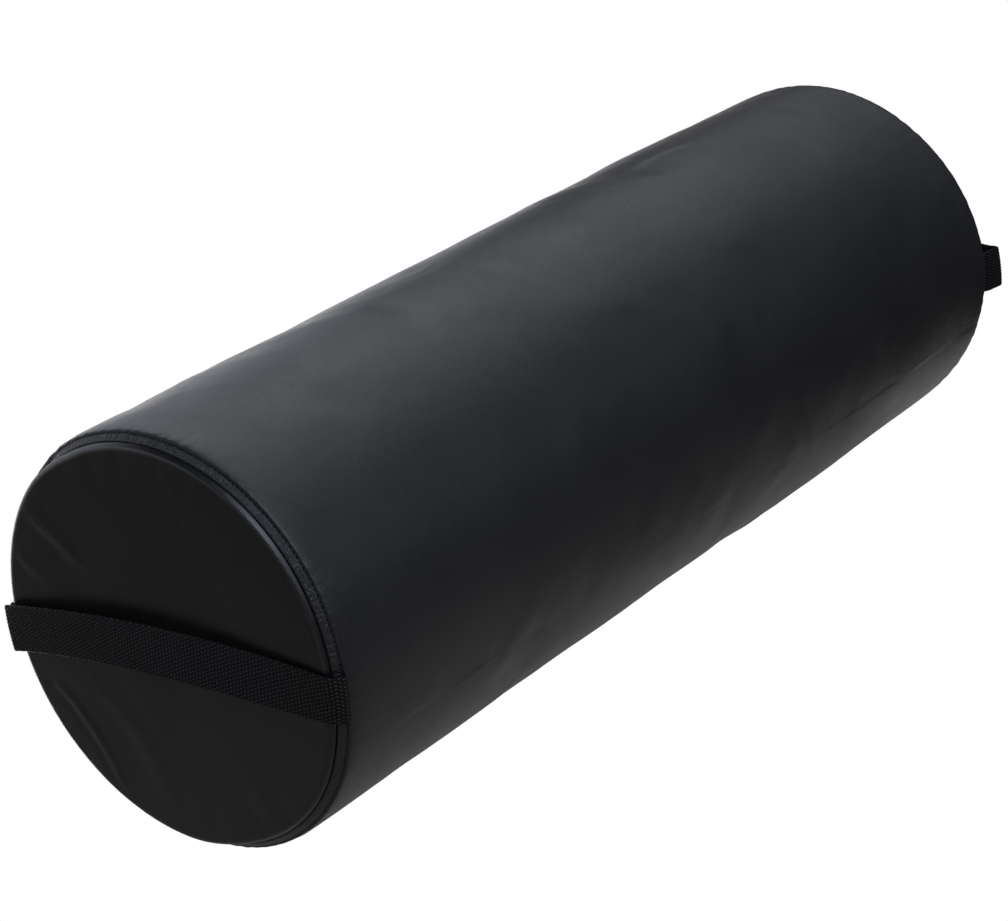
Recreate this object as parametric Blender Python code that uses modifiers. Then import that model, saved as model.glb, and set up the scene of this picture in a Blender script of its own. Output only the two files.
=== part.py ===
"""Full-round bolster pillow for a massage couch.

A firm foam cylinder lies on its side in a sewn synthetic-leather cover. The cover is a barrel panel, and at
each end a flat disc inside a narrow rim band. A webbing handle crosses each end, its two ends folded over the
rim and caught in the outer seam. A coil zip along the back closes the barrel panel.

Frame: metres, +X along the bolster, +Y to its back, +Z up. The origin is on the floor under the middle.
The bolster rests on a narrow foot, where the foam is pressed flat, so that it doesn't roll.
"""

from math import atan2, cos, pi, radians, sin, tan

import bpy
from mathutils import Matrix

MM = 0.001
INCH = 0.0254

# Driving dimensions
BARREL_RADIUS = 114.5 * MM
BODY_LENGTH = 645 * MM
FOOT_HALF_ANGLE = radians(10)
WEBBING_WIDTH = 26 * MM
HANDLE_STANDOFF = 6 * MM
ZIP_LENGTH = 20 * INCH
ZIP_ANGLE = radians(20)

# Sheet goods and clearances
LEATHER = 1.2 * MM
WEBBING = 1.8 * MM
TAPE = 0.6 * MM
GAP = 0.3 * MM
SOFT_GAP = 0.4 * MM
END_THREAD_RADIUS = 0.4 * MM
SEAM_THREAD_RADIUS = 0.35 * MM

# Turned pieces: their steps put a vertex on both edges of the foot
SEGMENTS = 72
AXIS_HEIGHT = BARREL_RADIUS * cos(FOOT_HALF_ANGLE)
END_X = BODY_LENGTH / 2

# Sewn end, as (inset from the end plane, radius)
PANEL_EDGE = [(0.0, 104.5 * MM), (0.15 * MM, 107 * MM), (0.55 * MM, 108.5 * MM), (1.2 * MM, 109.3 * MM)]
BAND_EDGE = [(0.9 * MM, 111.6 * MM), (2.3 * MM, 112.9 * MM), (4.4 * MM, 113.7 * MM)]
BARREL_SHOULDER = [(6.0 * MM, 113.5 * MM), (7.2 * MM, 114.2 * MM), (9.5 * MM, BARREL_RADIUS)]
END_SEAM = (0.7 * MM, 110.3 * MM)
TOPSTITCH = (5.2 * MM, 113.75 * MM)
FOAM_EDGE = [(LEATHER + SOFT_GAP, 106.5 * MM), (7.5 * MM, BARREL_RADIUS - LEATHER - SOFT_GAP)]

# Webbing handles: a free span, bowed out and up, between two folded ends
HANDLE_DROP = 7 * MM
HANDLE_BOW = 2.5 * MM
HANDLE_RISE = 9 * MM
SPAN_HALF = 95 * MM
SPAN_STEPS = 24
FOLD_RADIUS = 3 * MM
FOLD_STEPS = 6
FOLD_Y = 110.4 * MM
SEWN_LAP = 4.1 * MM
SEWN_Y = BAND_EDGE[-1][1] + SOFT_GAP + WEBBING / 2
HANDLE_HEIGHT = AXIS_HEIGHT - HANDLE_DROP

# Zip, in its own frame: u along the bolster, v across the zip, w out from the bolster's axis
COIL_HALF = ZIP_LENGTH / 2
SLOT_HALF = COIL_HALF + 4 * MM
SLOT_V = 6 * MM
TAPE_HALF = COIL_HALF + 14 * MM
TAPE_V = (0.8 * MM, 16 * MM)
TAPE_TOP = BARREL_RADIUS - LEATHER - SOFT_GAP - 0.1 * MM
COIL_V = (0.55 * MM, 3.1 * MM)
COIL_W = (TAPE_TOP + GAP, TAPE_TOP + 2.2 * MM)
COIL_CHAMFER = 0.6 * MM
STITCH_V = 8 * MM
STITCH_U = SLOT_HALF + 4 * MM
STITCH_TOP = BARREL_RADIUS + GAP + SEAM_THREAD_RADIUS
FOAM_FLAT_W = 110.2 * MM
STOP_LENGTH = 2 * MM

# Slider and pull tab
SLIDER_HALF = 5.5 * MM
SLIDER_PLATE = 1.1 * MM
SLIDER_PLATE_V = 4.2 * MM
SLIDER_FLANGE_V = 3.45 * MM
SLIDER_POST_V = 0.25 * MM
SLIDER_BASE_V = 3.8 * MM
SLIDER_TOP = COIL_W[1] + GAP + SLIDER_PLATE
SLIDER_BASE_W = (FOAM_FLAT_W + 0.5 * MM, FOAM_FLAT_W + 1.5 * MM)
SLIDER_REST_U = -(COIL_HALF - SLIDER_HALF - 0.7 * MM)
CROWN_INNER = 1.25 * MM
CROWN_OUTER = 2.25 * MM
CROWN_HALF_WIDTH = 0.8 * MM
CROWN_SINK = 0.3 * MM
TAB_BAR = 0.65 * MM
TAB_HALF_THICKNESS = 0.6 * MM
TAB_LENGTH = 24 * MM
TAB_EYE = (4.4 * MM, 1.4 * MM)
TAB_NECK_V = 2.8 * MM
TAB_END_V = 3.4 * MM
TAB_END_STEPS = 8

SIDES = {"left": -1, "right": 1}
DEPTHS = {"front": -1, "back": 1}
ZIP_SIDES = {"upper": -1, "lower": 1}


# ---------------------------------------------------------------- scene, materials and small helpers

def clear_scene():
    for obj in list(bpy.data.objects):
        bpy.data.objects.remove(obj, do_unlink=True)


def collection(name):
    made = bpy.data.collections.new(name)
    bpy.context.scene.collection.children.link(made)
    return made


def material(name, colour, roughness, metallic=0.0):
    made = bpy.data.materials.new(name)
    made.use_nodes = True
    shader = made.node_tree.nodes["Principled BSDF"]
    shader.inputs["Base Color"].default_value = (*colour, 1.0)
    shader.inputs["Roughness"].default_value = roughness
    shader.inputs["Metallic"].default_value = metallic
    made.diffuse_color = (*colour, 1.0)
    return made


def place(name, data, finish, group, parent=None):
    """A named object that holds data, with its own material."""
    obj = bpy.data.objects.new(name, data)
    group.objects.link(obj)
    obj.data.materials.clear()
    obj.data.materials.append(finish)
    obj.parent = parent
    return obj


def evaluated_mesh(obj):
    """The mesh that an object's curve or modifiers make, in the object's own frame."""
    bpy.context.view_layer.update()
    return bpy.data.meshes.new_from_object(obj.evaluated_get(bpy.context.evaluated_depsgraph_get()))


def shade_round(mesh):
    mesh.shade_smooth()
    mesh.set_sharp_from_angle(angle=radians(30))


def solidify(obj, thickness):
    shell = obj.modifiers.new("Thickness", "SOLIDIFY")
    shell.thickness = thickness
    shell.offset = -1
    shell.use_even_offset = True


def boolean(obj, tool, operation):
    joined = obj.modifiers.new(operation.title(), "BOOLEAN")
    joined.operation = operation
    joined.solver = "EXACT"
    joined.object = tool


def hide_tool(obj):
    obj.hide_render = True
    obj.display_type = "WIRE"


# ---------------------------------------------------------------- turned pieces

def turned_mesh(name, profile):
    """A mesh turned about the bolster's axis, from (x, radius) points listed from the +X end to the -X end."""
    line = bpy.data.meshes.new(name + "_profile")
    line.from_pydata([(radius, 0.0, x) for x, radius in profile],
                     [(i, i + 1) for i in range(len(profile) - 1)], [])
    guide = bpy.data.objects.new(name + "_profile", line)
    bpy.context.scene.collection.objects.link(guide)
    turn = guide.modifiers.new("Turn", "SCREW")
    turn.axis = "Z"
    turn.angle = 2 * pi
    turn.steps = turn.render_steps = SEGMENTS
    turn.use_merge_vertices = True
    turn.merge_threshold = 0.01 * MM
    mesh = evaluated_mesh(guide)
    bpy.data.objects.remove(guide)
    mesh.name = name
    mesh.transform(Matrix.Translation((0, 0, AXIS_HEIGHT)) @ Matrix.Rotation(pi / 2, 4, "Y"))
    return mesh


def rest_on(mesh, height):
    """Presses whatever lies below a height flat at that height, as the foam gives way where it rests."""
    for vertex in mesh.vertices:
        vertex.co.z = max(vertex.co.z, height)


def end_profile(side, points):
    """Turns (inset, radius) points at one end into (x, radius) points, from the +X end to the -X end."""
    placed = [(side * (END_X - inset), radius) for inset, radius in points]
    return placed if side > 0 else placed[::-1]


def turned_shell(name, profile, finish, group):
    """A leather shell that is turned from its outer surface and rests on the floor."""
    mesh = turned_mesh(name, profile)
    rest_on(mesh, 0.0)
    shade_round(mesh)
    shell = place(name, mesh, finish, group)
    solidify(shell, LEATHER)
    return shell


def foam_core(finish, group):
    half = [(FOAM_EDGE[0][0], 0.0), *FOAM_EDGE]
    mesh = turned_mesh("foam_core", end_profile(1, half) + end_profile(-1, half))
    rest_on(mesh, LEATHER + SOFT_GAP)
    shade_round(mesh)
    return place("foam_core", mesh, finish, group)


def thread_ring(name, side, seam, finish, group):
    """A thread laid round the rim in a seam. Near the foot it keeps its own thickness above the floor."""
    inset, radius = seam
    floor = END_THREAD_RADIUS + GAP
    angles = [2 * pi * i / SEGMENTS for i in range(SEGMENTS)]
    points = [(side * (END_X - inset), radius * sin(a), max(AXIS_HEIGHT - radius * cos(a), floor))
              for a in angles]
    return thread(name, points, END_THREAD_RADIUS, finish, group, closed=True)


def thread(name, points, radius, finish, group, closed=False, parent=None):
    curve = bpy.data.curves.new(name, "CURVE")
    curve.dimensions = "3D"
    curve.bevel_depth = radius
    curve.bevel_resolution = 0
    curve.use_fill_caps = not closed
    spline = curve.splines.new("POLY")
    spline.points.add(len(points) - 1)
    for point, co in zip(spline.points, points):
        point.co = (*co, 1.0)
    spline.use_cyclic_u = closed
    return place(name, curve, finish, group, parent)


# ---------------------------------------------------------------- flat outlines

def outline_curve(name, loops, half_depth):
    """A flat plate: its outline and any hole are closed loops, filled and thickened to both sides."""
    curve = bpy.data.curves.new(name, "CURVE")
    curve.dimensions = "2D"
    curve.fill_mode = "BOTH"
    curve.extrude = half_depth
    for loop in loops:
        spline = curve.splines.new("POLY")
        spline.points.add(len(loop) - 1)
        for point, (x, y) in zip(spline.points, loop):
            point.co = (x, y, 0.0, 1.0)
        spline.use_cyclic_u = True
    return curve


def solid_from_curve(curve, matrix):
    """The welded mesh of a flat plate, for a piece that is joined to another one."""
    guide = bpy.data.objects.new(curve.name, curve)
    bpy.context.scene.collection.objects.link(guide)
    mesh = evaluated_mesh(guide)
    bpy.data.objects.remove(guide)
    weld = bpy.data.objects.new("weld", mesh)
    bpy.context.scene.collection.objects.link(weld)
    merge = weld.modifiers.new("Weld", "WELD")
    merge.merge_threshold = 0.01 * MM
    welded = evaluated_mesh(weld)
    bpy.data.objects.remove(weld)
    welded.transform(matrix)
    return welded


# Turns an outline's plane so that its x is v, its y is w and its depth is u
ACROSS_ZIP = (pi / 2, 0, pi / 2)


def zip_bar(name, section, u_range, finish, group, zip_frame):
    """A bar that runs along the zip, from its (v, w) section and its two ends along u."""
    low, high = u_range
    bar = place(name, outline_curve(name, [section], (high - low) / 2), finish, group, zip_frame)
    bar.rotation_euler = ACROSS_ZIP
    bar.location.x = (low + high) / 2
    return bar


def box_section(low_v, high_v, low_w, high_w):
    return [(low_v, low_w), (high_v, low_w), (high_v, high_w), (low_v, high_w)]


# ---------------------------------------------------------------- handles

def sewn_end_outline():
    """A folded handle end, as (out from the end plane, distance from the middle) points.

    It runs straight out from the seam, turns round the fold, and runs on along the free span.
    """
    turn = atan2(HANDLE_STANDOFF + SEWN_LAP, SEWN_Y - FOLD_Y)
    to_corner = (sin(turn), -cos(turn))
    outward = (cos(turn), sin(turn))
    before = FOLD_RADIUS * tan(turn / 2)
    centre = (HANDLE_STANDOFF - before * to_corner[0] - FOLD_RADIUS * outward[0],
              FOLD_Y - before * to_corner[1] - FOLD_RADIUS * outward[1])

    def face(offset):
        radius = FOLD_RADIUS + offset
        turns = [turn * (1 - i / FOLD_STEPS) for i in range(FOLD_STEPS + 1)]
        fold = [(centre[0] + radius * cos(t), centre[1] + radius * sin(t)) for t in turns]
        seam_end = (-SEWN_LAP + offset * outward[0], SEWN_Y + offset * outward[1])
        return [seam_end, *fold, (HANDLE_STANDOFF + offset, SPAN_HALF + GAP)]

    return face(WEBBING / 2) + face(-WEBBING / 2)[::-1]


def bow(y):
    """How far along its bow the free span is at y: 0 at its ends and 1 in the middle."""
    return 1 - (y / SPAN_HALF) ** 2


def free_span(side):
    """The free span's mesh, about the middle of its ends. Its bow raises it as well as standing it off."""
    along = [SPAN_HALF * (2 * i / SPAN_STEPS - 1) for i in range(SPAN_STEPS + 1)]
    outer = [(side * (HANDLE_BOW * bow(y) + WEBBING / 2), y) for y in along]
    inner = [(side * (HANDLE_BOW * bow(y) - WEBBING / 2), y) for y in along]
    mesh = solid_from_curve(outline_curve("span", [outer + inner[::-1]], WEBBING_WIDTH / 2), Matrix())
    for vertex in mesh.vertices:
        vertex.co.z += HANDLE_RISE * bow(vertex.co.y)
    return mesh


def handle(end, side, finish, group):
    span = place(f"handle_{end}", free_span(side), finish, group)
    span.location = (side * (END_X + HANDLE_STANDOFF), 0, HANDLE_HEIGHT)
    for depth, forward in DEPTHS.items():
        name = f"handle_{end}_sewn_end_{depth}"
        loop = [(side * out, forward * y) for out, y in sewn_end_outline()]
        folded = place(name, outline_curve(name, [loop], WEBBING_WIDTH / 2), finish, group)
        folded.location = (side * END_X, 0, HANDLE_HEIGHT)


# ---------------------------------------------------------------- zip

def arc(radius, from_v, to_v, steps):
    """Points on a circle about the bolster's axis, as (v, w)."""
    values = [from_v + (to_v - from_v) * i / steps for i in range(steps + 1)]
    return [(v, (radius ** 2 - v ** 2) ** 0.5) for v in values]


def zip_tape(name, sign, finish, group, zip_frame):
    inner, outer = (sign * v for v in TAPE_V)
    section = arc(TAPE_TOP, inner, outer, 4) + arc(TAPE_TOP - TAPE, outer, inner, 4)
    return zip_bar(name, section, (-TAPE_HALF, TAPE_HALF), finish, group, zip_frame)


def zip_coil(name, sign, finish, group, zip_frame):
    inner, outer = (sign * v for v in COIL_V)
    low, high = COIL_W
    chamfer = sign * COIL_CHAMFER
    section = [(inner, low), (outer, low), (outer, high - COIL_CHAMFER), (outer - chamfer, high),
               (inner + chamfer, high), (inner, high - COIL_CHAMFER)]
    return zip_bar(name, section, (-COIL_HALF, COIL_HALF), finish, group, zip_frame)


def zip_stops(finish, group, zip_frame):
    low, high = COIL_W
    near = -COIL_HALF - GAP
    for edge, sign in ZIP_SIDES.items():
        section = box_section(sign * COIL_V[0], sign * COIL_V[1], low, high)
        zip_bar(f"zip_top_stop_{edge}", section, (near - STOP_LENGTH, near), finish, group, zip_frame)
    section = box_section(-COIL_V[1], COIL_V[1], low, high)
    zip_bar("zip_bottom_stop", section, (-near, -near + STOP_LENGTH), finish, group, zip_frame)


def zip_stitching(finish, group, zip_frame):
    """One thread round the opening: straight along the sides, over the barrel's curve at the ends."""
    over = arc(STITCH_TOP, -STITCH_V, STITCH_V, 4)
    points = [(STITCH_U, v, w) for v, w in over] + [(-STITCH_U, v, w) for v, w in over[::-1]]
    return thread("zip_stitching", points, SEAM_THREAD_RADIUS, finish, group, closed=True, parent=zip_frame)


def barrel_seam_stitching(end, side, finish, group, zip_frame):
    start = STITCH_U + 4 * MM
    stop = END_X - BARREL_SHOULDER[-1][0] - MM
    points = [(side * u, 0.0, STITCH_TOP) for u in (start, stop)]
    return thread(f"barrel_seam_stitching_{end}", points, SEAM_THREAD_RADIUS, finish, group, parent=zip_frame)


def slider_section():
    """The slider's section: a top plate with flanges, a post between the coils, and a base plate."""
    plate_low = SLIDER_TOP - SLIDER_PLATE
    flange_low = TAPE_TOP + 0.45 * MM
    base_low, base_high = SLIDER_BASE_W
    half = [(SLIDER_PLATE_V, SLIDER_TOP), (SLIDER_PLATE_V, flange_low), (SLIDER_FLANGE_V, flange_low),
            (SLIDER_FLANGE_V, plate_low), (SLIDER_POST_V, plate_low), (SLIDER_POST_V, base_high),
            (SLIDER_BASE_V, base_high), (SLIDER_BASE_V, base_low)]
    return half + [(-v, w) for v, w in half[::-1]]


def zip_slider(finish, group, tools, zip_frame):
    """The slider, with the crown that holds the pull tab joined to its top plate."""
    to_section = Matrix.Rotation(pi / 2, 4, "Z") @ Matrix.Rotation(pi / 2, 4, "X")
    body = solid_from_curve(outline_curve("slider_body", [slider_section()], SLIDER_HALF), to_section)
    slider = place("zip_slider", body, finish, group, zip_frame)
    slider.location.x = SLIDER_REST_U

    foot = SLIDER_TOP - CROWN_SINK
    axis = SLIDER_TOP + CROWN_INNER
    arch = [(-CROWN_OUTER, foot), (-CROWN_OUTER, axis + CROWN_OUTER), (CROWN_OUTER, axis + CROWN_OUTER),
            (CROWN_OUTER, foot), (CROWN_INNER, foot), (CROWN_INNER, axis + CROWN_INNER),
            (-CROWN_INNER, axis + CROWN_INNER), (-CROWN_INNER, foot)]
    crown_mesh = solid_from_curve(outline_curve("crown", [arch], CROWN_HALF_WIDTH),
                                  Matrix.Rotation(pi / 2, 4, "X"))
    crown = place("slider_crown", crown_mesh, finish, tools, zip_frame)
    crown.location.x = SLIDER_REST_U
    hide_tool(crown)
    boolean(slider, crown, "UNION")
    return slider


def zip_pull(finish, group, slider):
    """The pull tab, with its origin on the bar that turns under the slider's crown."""
    eye_u, eye_v = TAB_EYE
    round_centre = TAB_LENGTH - TAB_END_V
    turns = [pi / 2 - pi * i / TAB_END_STEPS for i in range(TAB_END_STEPS + 1)]
    end = [(round_centre + TAB_END_V * cos(t), TAB_END_V * sin(t)) for t in turns]
    border = [(-TAB_BAR, -TAB_NECK_V), (-TAB_BAR, TAB_NECK_V), (eye_u, TAB_NECK_V), *end, (eye_u, -TAB_NECK_V)]
    eye = [(TAB_BAR, -eye_v), (eye_u, -eye_v), (eye_u, eye_v), (TAB_BAR, eye_v)]
    tab = place("zip_pull", outline_curve("zip_pull", [border, eye], TAB_HALF_THICKNESS), finish, group, slider)
    tab.location = (0, 0, SLIDER_TOP + CROWN_INNER)
    return tab


def zip_tool(name, half_u, half_v, low_w, tools, zip_frame):
    """A box that cuts everything further out than low_w from the bolster's axis."""
    depth = 2 * (BARREL_RADIUS - low_w)
    bpy.ops.mesh.primitive_cube_add(size=1)
    box = bpy.context.active_object
    box.name = name
    for owner in list(box.users_collection):
        owner.objects.unlink(box)
    tools.objects.link(box)
    box.data.transform(Matrix.Diagonal((2 * half_u, 2 * half_v, depth, 1.0)))
    box.parent = zip_frame
    box.location.z = low_w + depth / 2
    hide_tool(box)
    return box


# ---------------------------------------------------------------- the bolster

def build():
    clear_scene()
    group = collection("bolster_pillow")
    tools = collection("cutters")

    leather = material("black_leather", (0.020, 0.021, 0.024), 0.42)
    panel_leather = material("panel_leather", (0.011, 0.011, 0.011), 0.6)
    band_leather = material("band_leather", (0.016, 0.016, 0.019), 0.45)
    black_thread = material("black_thread", (0.006, 0.006, 0.007), 0.7)
    webbing = material("black_webbing", (0.009, 0.009, 0.009), 0.85)
    foam = material("cream_foam", (0.72, 0.66, 0.50), 0.95)
    tape = material("black_zip_tape", (0.012, 0.012, 0.013), 0.9)
    coil = material("black_nylon", (0.014, 0.014, 0.015), 0.4)
    metal = material("black_nickel", (0.09, 0.09, 0.10), 0.3, metallic=1.0)

    zip_frame = bpy.data.objects.new("zip_frame", None)
    group.objects.link(zip_frame)
    zip_frame.location.z = AXIS_HEIGHT
    zip_frame.rotation_euler.x = ZIP_ANGLE - pi / 2

    core = foam_core(foam, group)
    flat_half_v = (BARREL_RADIUS ** 2 - FOAM_FLAT_W ** 2) ** 0.5
    boolean(core, zip_tool("foam_flat", TAPE_HALF + 2 * MM, flat_half_v, FOAM_FLAT_W, tools, zip_frame),
            "DIFFERENCE")

    barrel_profile = end_profile(1, BARREL_SHOULDER) + end_profile(-1, BARREL_SHOULDER)
    cover = turned_shell("barrel_cover", barrel_profile, leather, group)
    slot_low = BARREL_RADIUS - 4 * LEATHER
    boolean(cover, zip_tool("zip_slot", SLOT_HALF, SLOT_V, slot_low, tools, zip_frame), "DIFFERENCE")

    for end, side in SIDES.items():
        panel = [(PANEL_EDGE[0][0], 0.0), *PANEL_EDGE]
        turned_shell(f"end_panel_{end}", end_profile(side, panel), panel_leather, group)
        turned_shell(f"rim_band_{end}", end_profile(side, BAND_EDGE), band_leather, group)
        thread_ring(f"end_seam_stitching_{end}", side, END_SEAM, black_thread, group)
        thread_ring(f"topstitching_{end}", side, TOPSTITCH, black_thread, group)
        handle(end, side, webbing, group)
        barrel_seam_stitching(end, side, black_thread, group, zip_frame)

    for edge, sign in ZIP_SIDES.items():
        zip_tape(f"zip_tape_{edge}", sign, tape, group, zip_frame)
        zip_coil(f"zip_coil_{edge}", sign, coil, group, zip_frame)
    zip_stops(metal, group, zip_frame)
    zip_stitching(black_thread, group, zip_frame)
    slider = zip_slider(metal, group, tools, zip_frame)
    zip_pull(metal, group, slider)


build()
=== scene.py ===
"""The looks of a bolster pillow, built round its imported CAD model.

Everything is in metres in the CAD's frame. The origin is on the floor under the middle, +X runs along the
bolster, +Y points to the back, where the zip is, and +Z is up. Two sets of coordinates follow the round body:
    inset: how far a point lies in from the nearer end's plane, along X
    turn:  its angle round the axis, from +Y towards +Z, with its radius from the axis
"""

from math import cos, pi, radians, sin, sqrt

import bpy
import numpy as np
from mathutils import Matrix, Vector


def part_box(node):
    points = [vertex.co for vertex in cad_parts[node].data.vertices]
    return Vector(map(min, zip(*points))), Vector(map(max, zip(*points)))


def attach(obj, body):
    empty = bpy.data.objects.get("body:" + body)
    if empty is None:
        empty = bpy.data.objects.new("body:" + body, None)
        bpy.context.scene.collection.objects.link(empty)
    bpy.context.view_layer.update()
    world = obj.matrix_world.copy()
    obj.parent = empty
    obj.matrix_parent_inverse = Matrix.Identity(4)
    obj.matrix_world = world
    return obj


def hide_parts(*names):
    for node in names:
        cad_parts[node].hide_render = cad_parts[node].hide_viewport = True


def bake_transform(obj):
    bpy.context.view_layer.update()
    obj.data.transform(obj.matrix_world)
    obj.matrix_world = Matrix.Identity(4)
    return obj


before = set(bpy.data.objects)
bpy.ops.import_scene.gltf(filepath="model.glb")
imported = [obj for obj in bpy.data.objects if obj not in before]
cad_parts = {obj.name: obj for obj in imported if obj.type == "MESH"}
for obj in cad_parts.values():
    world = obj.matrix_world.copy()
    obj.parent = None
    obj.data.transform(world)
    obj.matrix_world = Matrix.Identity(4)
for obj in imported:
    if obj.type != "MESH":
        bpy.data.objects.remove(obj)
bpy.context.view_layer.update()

MM = 0.001

# The body, read from the frame
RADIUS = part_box("barrel_cover")[1].y
AXIS_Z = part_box("barrel_cover")[1].z - RADIUS
END_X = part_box("end_panel_right")[1].x
SIDES = {"left": -1, "right": 1}

# Leather cover and foam: thicknesses, insets and radii, and the steps round each piece
LEATHER = 1.2 * MM
BAND_LEATHER_DEPTH = 0.8 * MM
FOAM_RADIUS = 110.6 * MM
FOAM_INSET = 5.2 * MM
FOAM_EDGE = 5 * MM
FOAM_AROUND = 120
BARREL_INSET = 5.3 * MM
SHOULDER_INSET = 5.6 * MM
PANEL_RADIUS = 107.6 * MM
PANEL_AROUND = 720
ROLL_START = 103.6 * MM
ROLL_DEPTH = 2.5 * MM
BAND_AROUND = 2400

# The simulated leather: how much too large it is cut, how long it settles, and how far it may leave its form
GROWTH = 0.004
SETTLING_FRAMES = 20
SLACK_CAP = 1.2 * MM
SLACK_SHARE = 0.45
SWELL = 1.1 * MM
SWELL_RIPPLES = 0.45

# Stitches: how many round each seam, how far apart along a straight one, and the round ones' radii
END_STITCHES = 115
TOP_STITCHES = 236
STITCH_PITCH = 3.0 * MM
END_STITCH_RADIUS = 108.0 * MM
TOP_STITCH_RADIUS = 112.1 * MM

# Webbing: its size, its yarns and its mesh's steps
WEBBING_HALF_WIDTH = 13 * MM
WEBBING_HALF_THICKNESS = 0.70 * MM
WARP_PITCH = 1.02 * MM
WEFT_PITCH = 2.10 * MM
YARN_RELIEF = 0.46 * MM
WEBBING_STEP = 0.41 * MM
WEBBING_CROSS_STEP = 0.18 * MM

# Zip: u runs along X, v across it and w out from the axis
ZIP_TURN = radians(20)
ZIP_OUT = np.array([0, cos(ZIP_TURN), sin(ZIP_TURN)])
SLOT_HALF = 258 * MM
SLOT_V = 6 * MM
STITCHED_HALF = SLOT_HALF + 4 * MM
STITCHED_V = 8 * MM
SEAM_STITCHES = (266 * MM, 312 * MM)
COIL_HALF = 253.2 * MM
COIL_PITCH = 1.5 * MM
COIL_RADIUS = 114.05 * MM


# ---------------- meshes

def full_turn(count):
    """Evenly spaced angles round a full turn."""
    return np.linspace(0, 2 * pi, count, endpoint=False)


def grid_faces(rows, columns):
    """The quads of a grid of points, numbered row by row, whose last column joins the first."""
    row = np.arange(rows - 1)[:, None] * columns
    here = np.arange(columns)[None, :]
    after = (here + 1) % columns
    quads = np.stack([row + here, row + after, row + columns + after, row + columns + here], axis=-1)
    return quads.reshape(-1, 4)


def linked(name, data):
    """A new object in the scene."""
    made = bpy.data.objects.new(name, data)
    bpy.context.scene.collection.objects.link(made)
    return made


def capped_faces(rings, sides):
    """The faces of a closed tube of rings with as many sides, and of the caps at both of its ends."""
    last = (rings - 1) * sides
    return grid_faces(rings, sides).tolist() + [list(range(sides))[::-1], list(range(last, last + sides))]


def mesh_piece(name, points, faces, material, flip=False):
    """A smooth-shaded mesh object from points and faces."""
    mesh = bpy.data.meshes.new(name)
    mesh.from_pydata(np.asarray(points).reshape(-1, 3).tolist(), [], [list(f) for f in faces])
    if flip:
        mesh.flip_normals()
    mesh.shade_smooth()
    mesh.materials.append(material)
    return linked(name, mesh)


def apply_modifiers(piece):
    """Replaces the piece's mesh with its evaluated one."""
    evaluated = piece.evaluated_get(bpy.context.evaluated_depsgraph_get())
    mesh = bpy.data.meshes.new_from_object(evaluated)
    piece.modifiers.clear()
    old = piece.data
    piece.data = mesh
    bpy.data.meshes.remove(old)


def thicken(piece, depth):
    """Gives a sheet its thickness on the inner side."""
    solid = piece.modifiers.new("thickness", "SOLIDIFY")
    solid.thickness = depth
    solid.offset = -1
    apply_modifiers(piece)
    piece.data.shade_smooth()


def ring_noise(seed, low, high):
    """A smooth random wave round a ring, mostly within -1 to 1, with low to high bumps in a full turn."""
    draw, count = np.random.default_rng(seed), 28
    bumps = draw.integers(low, high + 1, count)
    phases = draw.uniform(0, 2 * pi, count)

    def value(turn):
        return sum(np.cos(n * turn + p) for n, p in zip(bumps, phases)) * sqrt(2 / count) / 1.6
    return value


def plane_noise(seed, shortest, longest):
    """A smooth random wave over a plane, mostly within -1 to 1, with wavelengths from shortest to longest."""
    draw, count = np.random.default_rng(seed), 24
    heading = draw.uniform(0, 2 * pi, count)
    length = draw.uniform(shortest, longest, count)
    phases = draw.uniform(0, 2 * pi, count)

    def value(a, b):
        waves = (np.cos((a * cos(h) + b * sin(h)) * 2 * pi / w + p) for h, w, p in zip(heading, length, phases))
        return sum(waves) * sqrt(2 / count) / 1.6
    return value


def catmull(points, steps):
    """A smooth open curve through the points, with steps samples for each stretch."""
    points = np.asarray(points, float)
    padded = np.vstack([2 * points[0] - points[1], points, 2 * points[-1] - points[-2]])
    t = np.linspace(0, 1, steps, endpoint=False)[:, None]
    out = []
    for a, b, c, d in zip(padded, padded[1:], padded[2:], padded[3:]):
        out.append(0.5 * (2 * b + (c - a) * t + (2 * a - 5 * b + 4 * c - d) * t**2 + (3 * b - a - 3 * c + d) * t**3))
    out.append(points[-1:])
    return np.vstack(out)


def evenly(path, step):
    """The path resampled at even distances of about step, and the distance along it of each sample."""
    along = np.concatenate([[0], np.cumsum(np.linalg.norm(np.diff(path, axis=0), axis=1))])
    count = int(round(along[-1] / step)) + 1
    wanted = np.linspace(0, along[-1], count)
    return np.stack([np.interp(wanted, along, path[:, k]) for k in range(path.shape[1])], axis=1), wanted


def round_body(x, turn, radius):
    """Points at these places round the axis, flattened where they rest on the floor."""
    x, turn, radius = np.broadcast_arrays(x, turn, radius)
    softness = 0.25 * MM
    height = AXIS_Z + radius * np.sin(turn)
    height = np.logaddexp(0, height / softness) * softness
    return np.stack([x, radius * np.cos(turn), height], axis=-1)


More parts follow.
